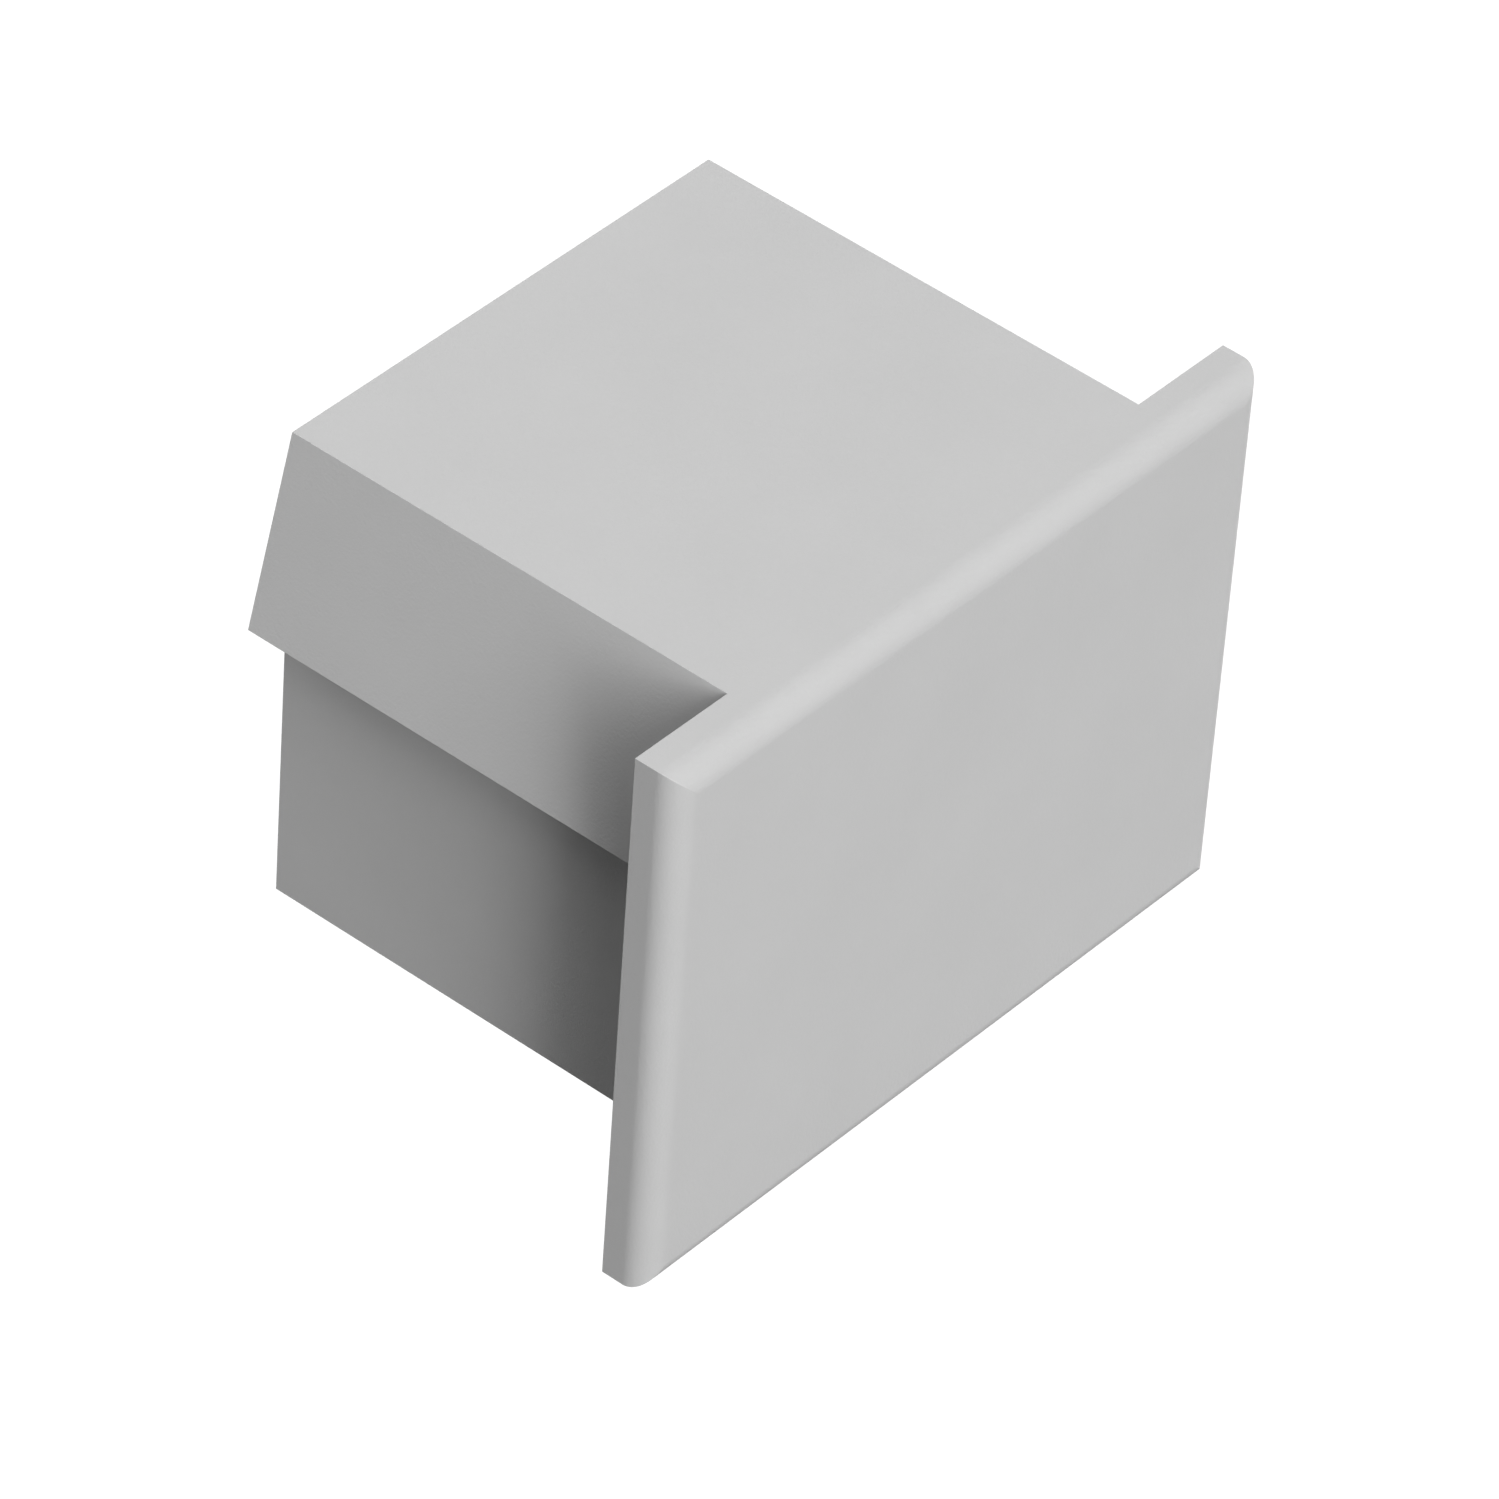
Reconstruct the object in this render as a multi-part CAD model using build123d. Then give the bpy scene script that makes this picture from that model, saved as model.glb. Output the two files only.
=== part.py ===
from build123d import *
import os

# End cap for a small extruded channel, moulded in one piece.
# A thin cover plate closes the end of the channel, and a plug behind it pushes into the channel.
# The plug has the channel's inner section: it flares outwards under the mouth, to lock under
# the channel's two lips, steps back in at a ledge, and runs straight down to the channel's floor.
# The top of the plug is flush with the top of the plate and with the channel's mouth.
#
# Frame, in millimetres: X across the channel, Y along it, Z up towards its open mouth.
# The plate's back face, which seats on the channel's cut end, lies in the plane Y = 0.
# The origin is the middle of the channel's outer section in that plane.

# Cover plate: the outline of the channel that it covers, its thickness and its rounded front.
channel_width = 16.0
channel_height = 12.0
plate_thickness = 1.02
front_radius = 0.54
least_edge = 0.05       # flat strip that the rounding always leaves along the plate's sides

# Plug: what the channel's walls leave free inside, and how far it reaches in.
lip_wall = 2.4          # side wall at the mouth, over each lip
undercut_wall = 1.4     # side wall where the plug is widest, just above the ledge
ledge_wall = 2.4        # side wall below the ledge
ledge_depth = 3.95      # from the mouth down to the ledge
floor_wall = 1.3        # floor of the channel, below the plug
plug_length = 10.15

# Places that follow from those sizes.
mouth_z = channel_height / 2
ledge_z = mouth_z - ledge_depth
floor_z = floor_wall - channel_height / 2
mouth_x = channel_width / 2 - lip_wall
undercut_x = channel_width / 2 - undercut_wall
ledge_x = channel_width / 2 - ledge_wall


def cover_plate():
    """The flat plate, with all four edges of its front face rounded and mitred at the corners."""
    blank = Box(channel_width, plate_thickness, channel_height,
                align=(Align.CENTER, Align.MAX, Align.CENTER))
    front_edges = blank.faces().sort_by(Axis.Y)[0].edges()
    return fillet(front_edges, min(front_radius, plate_thickness - least_edge))


def plug():
    """The solid plug: half of the channel's inner section, mirrored, then pushed along Y."""
    with BuildSketch(Plane.XZ) as section:
        with BuildLine():
            Polyline((0, mouth_z), (mouth_x, mouth_z), (undercut_x, ledge_z),
                     (ledge_x, ledge_z), (ledge_x, floor_z), (0, floor_z), close=True)
        make_face()
        mirror(about=Plane.YZ)
    return extrude(section.sketch, amount=plug_length, dir=(0, 1, 0))


end_cap = (cover_plate() + plug()).clean()

os.makedirs("parts", exist_ok=True)
export_step(end_cap, "parts/end_cap.step")
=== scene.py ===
import bmesh
import bpy
import math
from mathutils import Matrix, Quaternion, Vector


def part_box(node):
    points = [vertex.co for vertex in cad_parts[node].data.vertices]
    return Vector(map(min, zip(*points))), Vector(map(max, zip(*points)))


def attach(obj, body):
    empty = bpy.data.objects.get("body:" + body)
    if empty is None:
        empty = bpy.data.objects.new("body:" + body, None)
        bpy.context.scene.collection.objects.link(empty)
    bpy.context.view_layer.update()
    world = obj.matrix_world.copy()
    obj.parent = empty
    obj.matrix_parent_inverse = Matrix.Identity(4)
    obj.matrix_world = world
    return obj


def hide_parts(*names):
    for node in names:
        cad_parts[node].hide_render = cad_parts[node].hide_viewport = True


# End cap for a small extruded channel: one moulding of grey plastic, a cover plate with a plug
# behind it. X runs across the channel, Y from the plate into the channel, Z up to its open mouth,
# and the plate's back face lies in the plane Y = 0. Lengths are in metres, but the camera's
# sensor and focal length are in millimetres.
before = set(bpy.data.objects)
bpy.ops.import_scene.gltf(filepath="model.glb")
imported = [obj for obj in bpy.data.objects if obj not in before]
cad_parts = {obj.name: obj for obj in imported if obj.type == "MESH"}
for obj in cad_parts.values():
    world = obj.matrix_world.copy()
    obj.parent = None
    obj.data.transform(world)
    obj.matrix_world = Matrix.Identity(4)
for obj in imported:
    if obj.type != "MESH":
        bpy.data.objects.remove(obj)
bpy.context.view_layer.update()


# ---- Moulding ---------------------------------------------------------------------------------
# The cover plate and its plug are injected as one piece of light grey plastic. The plate closes
# the channel's cut end. The plug has the channel's inner section, wider under the two lips than
# at the mouth, and is pushed in until the plate's back face meets the metal.
low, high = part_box("end_cap")
lip_wall = 0.0024
undercut_wall = 0.0014
ledge_wall = 0.0024
ledge_depth = 0.00395
floor_wall = 0.0013
front_radius = 0.00054
front_steps = 24
edge_break = 0.00001
edge_break_steps = 3
sharp_angle = math.radians(40)
flat_angle = 0.001
least_slant = edge_break / 100


def plug_section():
    """The plug's outline in X and Z, clockwise from the mouth's right edge to its left edge."""
    right = [(high.x - lip_wall, high.z),
             (high.x - undercut_wall, high.z - ledge_depth),
             (high.x - ledge_wall, high.z - ledge_depth),
             (high.x - ledge_wall, low.z + floor_wall)]
    return right + [(-x, z) for x, z in reversed(right)]


def push(mesh, face, distance):
    """Raises a flat face straight out by that distance, with a wall along each of its edges."""
    bmesh.ops.inset_region(mesh, faces=[face], thickness=0, depth=distance)


def round_front(mesh):
    """Rounds the plate's front edges: the front face is inset and raised along a quarter circle."""
    front = min(mesh.faces, key=lambda face: face.calc_center_median().y)
    turns = [math.radians(90) * step / front_steps for step in range(front_steps + 1)]
    for here, there in zip(turns, turns[1:]):
        bmesh.ops.inset_region(mesh, faces=[front], use_even_offset=True,
                               thickness=front_radius * (math.cos(here) - math.cos(there)),
                               depth=front_radius * (math.sin(there) - math.sin(here)))


def break_edges(mesh):
    """Takes the knife edge off every outside corner, as a spark-eroded mould leaves it."""
    corners = [edge for edge in mesh.edges
               if edge.is_convex and edge.calc_face_angle(0) > sharp_angle]
    bmesh.ops.bevel(mesh, geom=corners, offset=edge_break, offset_type="OFFSET",
                    segments=edge_break_steps, profile=0.5, affect="EDGES", material=-1,
                    clamp_overlap=True)


def moulding_mesh():
    """One closed mesh: a flat sheet whose front is pushed forward and the plug's root back."""
    mesh = bmesh.new()
    root_ring = [mesh.verts.new((x, 0, z)) for x, z in plug_section()]
    plate_ring = [mesh.verts.new((x, 0, z)) for x, z in
                  [(low.x, high.z), (low.x, low.z), (high.x, low.z), (high.x, high.z)]]

    # Three faces in the plane of the plate's back close the sheet: the plug's root and the seat
    # round it look back, and the front looks forward.
    root = mesh.faces.new(root_ring)
    mesh.faces.new(list(reversed(plate_ring + root_ring)))
    front = mesh.faces.new(plate_ring + [root_ring[0], root_ring[-1]])
    mesh.normal_update()
    push(mesh, front, -low.y - front_radius)
    push(mesh, root, high.y)
    bmesh.ops.recalc_face_normals(mesh, faces=mesh.faces)
    bmesh.ops.dissolve_limit(mesh, angle_limit=flat_angle, verts=mesh.verts, edges=mesh.edges)
    round_front(mesh)
    break_edges(mesh)
    return mesh


def on_mitre(edge):
    """True for an edge that runs diagonally down a corner of the plate's rounded front."""
    start, end = [corner.co for corner in edge.verts]
    across = min(abs(end.x - start.x), abs(end.z - start.z))
    return (start.y + end.y) / 2 < low.y + front_radius and across > least_slant


shape = moulding_mesh()
for face in shape.faces:
    face.smooth = True
for edge in shape.edges:
    edge.smooth = edge.calc_face_angle(0) < sharp_angle and not on_mitre(edge)
moulding_data = bpy.data.meshes.new("moulded_cap")
shape.to_mesh(moulding_data)
shape.free()
moulded_cap = bpy.data.objects.new("moulded_cap", moulding_data)
bpy.context.scene.collection.objects.link(moulded_cap)
weighted = moulded_cap.modifiers.new("flat faces stay flat", "WEIGHTED_NORMAL")
weighted.keep_sharp = True
weighted.weight = 100

reflectance = 0.5
mottle_scale = 420
mottle_detail = 3
darker_grey = 0.545
darker_end = 0.3
lighter_grey = 0.56
lighter_end = 0.7
grain_scale = 16000
grain_detail = 2
least_roughness = 0.5
most_roughness = 0.62
grain_strength = 0.5
grain_height = 0.000012


def moulded_plastic():
    """Light grey plastic with the fine, even grain that a spark-eroded mould leaves."""
    material = bpy.data.materials.new("moulded_grey")
    material.use_nodes = True
    nodes, links = material.node_tree.nodes, material.node_tree.links
    shader = nodes["Principled BSDF"]
    shader.inputs["Specular IOR Level"].default_value = reflectance
    place = nodes.new("ShaderNodeTexCoord")

    # The pigment is very slightly uneven, in patches of about two millimetres.
    mottle = nodes.new("ShaderNodeTexNoise")
    mottle.inputs["Scale"].default_value = mottle_scale
    mottle.inputs["Detail"].default_value = mottle_detail
    links.new(place.outputs["Object"], mottle.inputs["Vector"])
    colour = nodes.new("ShaderNodeValToRGB")
    colour.color_ramp.elements[0].position = darker_end
    colour.color_ramp.elements[0].color = (darker_grey, darker_grey, darker_grey, 1)
    colour.color_ramp.elements[1].position = lighter_end
    colour.color_ramp.elements[1].color = (lighter_grey, lighter_grey, lighter_grey, 1)
    links.new(mottle.outputs["Fac"], colour.inputs["Fac"])
    links.new(colour.outputs["Color"], shader.inputs["Base Color"])

    # The mould leaves bumps a few hundredths of a millimetre across. They show only from close
    # by, where light rakes the surface, and make it matt.
    grain = nodes.new("ShaderNodeTexNoise")
    grain.inputs["Scale"].default_value = grain_scale
    grain.inputs["Detail"].default_value = grain_detail
    links.new(place.outputs["Object"], grain.inputs["Vector"])
    roughness = nodes.new("ShaderNodeMapRange")
    roughness.inputs["To Min"].default_value = least_roughness
    roughness.inputs["To Max"].default_value = most_roughness
    links.new(grain.outputs["Fac"], roughness.inputs["Value"])
    links.new(roughness.outputs["Result"], shader.inputs["Roughness"])
    bump = nodes.new("ShaderNodeBump")
    bump.inputs["Strength"].default_value = grain_strength
    bump.inputs["Distance"].default_value = grain_height
    links.new(grain.outputs["Fac"], bump.inputs["Height"])
    links.new(bump.outputs["Normal"], shader.inputs["Normal"])
    return material


moulded_cap.data.materials.append(moulded_plastic())
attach(moulded_cap, "root")
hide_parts("end_cap")


# ---- Floor and background -----------------------------------------------------------------------
# The floor is a wide light table, one sheet of opal glass lit evenly from below. The part is held
# well clear of it, and the room behind is the same white. Neither of them lights the part, which
# gets only a dim, even light from the room.
floor_drop = 1.0
floor_half = 6.0
table_glow = 1.08
room_glow = 0.1
floor_data = bpy.data.meshes.new("floor")
sheet = bmesh.new()
bmesh.ops.create_grid(sheet, x_segments=1, y_segments=1, size=floor_half)
bmesh.ops.translate(sheet, vec=(0, 0, -floor_drop), verts=sheet.verts)
sheet.to_mesh(floor_data)
sheet.free()
floor = bpy.data.objects.new("floor", floor_data)
bpy.context.scene.collection.objects.link(floor)
opal = bpy.data.materials.new("opal_glass")
opal.use_nodes = True
glass = opal.node_tree.nodes["Principled BSDF"]
glass.inputs["Base Color"].default_value = (0, 0, 0, 1)
glass.inputs["Specular IOR Level"].default_value = 0
glass.inputs["Emission Color"].default_value = (1, 1, 1, 1)
glass.inputs["Emission Strength"].default_value = table_glow
floor_data.materials.append(opal)
floor.visible_diffuse = False
floor.visible_glossy = False
floor.visible_shadow = False

world = bpy.data.worlds.new("studio")
bpy.context.scene.world = world
world.use_nodes = True
sky = world.node_tree.nodes["Background"]
sky.inputs["Color"].default_value = (1, 1, 1, 1)
path = world.node_tree.nodes.new("ShaderNodeLightPath")
strength = world.node_tree.nodes.new("ShaderNodeMapRange")
strength.inputs["To Min"].default_value = room_glow
strength.inputs["To Max"].default_value = table_glow
world.node_tree.links.new(path.outputs["Is Camera Ray"], strength.inputs["Value"])
world.node_tree.links.new(strength.outputs["Result"], sky.inputs["Strength"])


# ---- Lights -------------------------------------------------------------------------------------
# Round soft boxes stand so far off that they light each face evenly from end to end. Four stand
# in front of the plate, towards its left end, and two large ones behind the plug. Three large
# ones beside the right end keep that side and the underside from going dark.
light_distance = 1.6
lit_point = Vector((0, high.y / 2, 0))


def towards(azimuth, elevation):
    """The direction from the part to something at that azimuth and elevation, in degrees."""
    turn, rise = math.radians(azimuth), math.radians(elevation)
    return Vector((math.sin(turn) * math.cos(rise), -math.cos(turn) * math.cos(rise), math.sin(rise)))


def soft_box(name, azimuth, elevation, width, power):
    """A round soft box of that width in metres and power in watts, turned to face the part."""
    box = bpy.data.objects.new(name, bpy.data.lights.new(name, "AREA"))
    bpy.context.scene.collection.objects.link(box)
    box.data.shape = "DISK"
    box.data.size = width
    box.data.energy = power
    box.visible_camera = False
    away = towards(azimuth, elevation)
    turn = away.to_track_quat("Z", "Y").to_matrix().to_4x4()
    box.matrix_world = Matrix.Translation(lit_point + away * light_distance) @ turn


soft_box("front", azimuth=-20, elevation=32, width=0.88, power=13.8)
soft_box("front_high", azimuth=-30, elevation=58, width=0.88, power=6.6)
soft_box("front_low", azimuth=-30, elevation=12, width=0.88, power=6.0)
soft_box("front_low_small", azimuth=-30, elevation=12, width=0.4, power=4.3)
soft_box("back_left", azimuth=-150, elevation=55, width=1.44, power=5.5)
soft_box("back_right", azimuth=150, elevation=30, width=1.44, power=11.0)
soft_box("right", azimuth=90, elevation=5, width=1.44, power=5.6)
soft_box("right_low", azimuth=90, elevation=-25, width=1.44, power=4.8)
soft_box("right_low_back", azimuth=120, elevation=-25, width=1.44, power=5.6)


# ---- Camera -------------------------------------------------------------------------------------
# A long lens about 0.19 m from the part, above and to the left of the plate's front, with the
# frame turned a few degrees. Azimuth 0 looks along Y at the plate, and a negative one comes from
# the part's left.
camera_azimuth = -51.932
camera_elevation = 40.332
camera_roll = 4.222
camera_distance = 0.188798
aim = Vector((-0.000161, 0.003684, -0.000786))
sensor_width = 36
focal_length = 251.234
nearest_seen = 0.01
camera = bpy.data.objects.new("camera", bpy.data.cameras.new("camera"))
bpy.context.scene.collection.objects.link(camera)
camera.data.sensor_width = sensor_width
camera.data.lens = focal_length
camera.data.clip_start = nearest_seen
away = towards(camera_azimuth, camera_elevation)
turn = away.to_track_quat("Z", "Y") @ Quaternion((0, 0, 1), math.radians(camera_roll))
camera.matrix_world = Matrix.Translation(aim + away * camera_distance) @ turn.to_matrix().to_4x4()
bpy.context.scene.camera = camera
bpy.context.scene.view_settings.view_transform = "Standard"
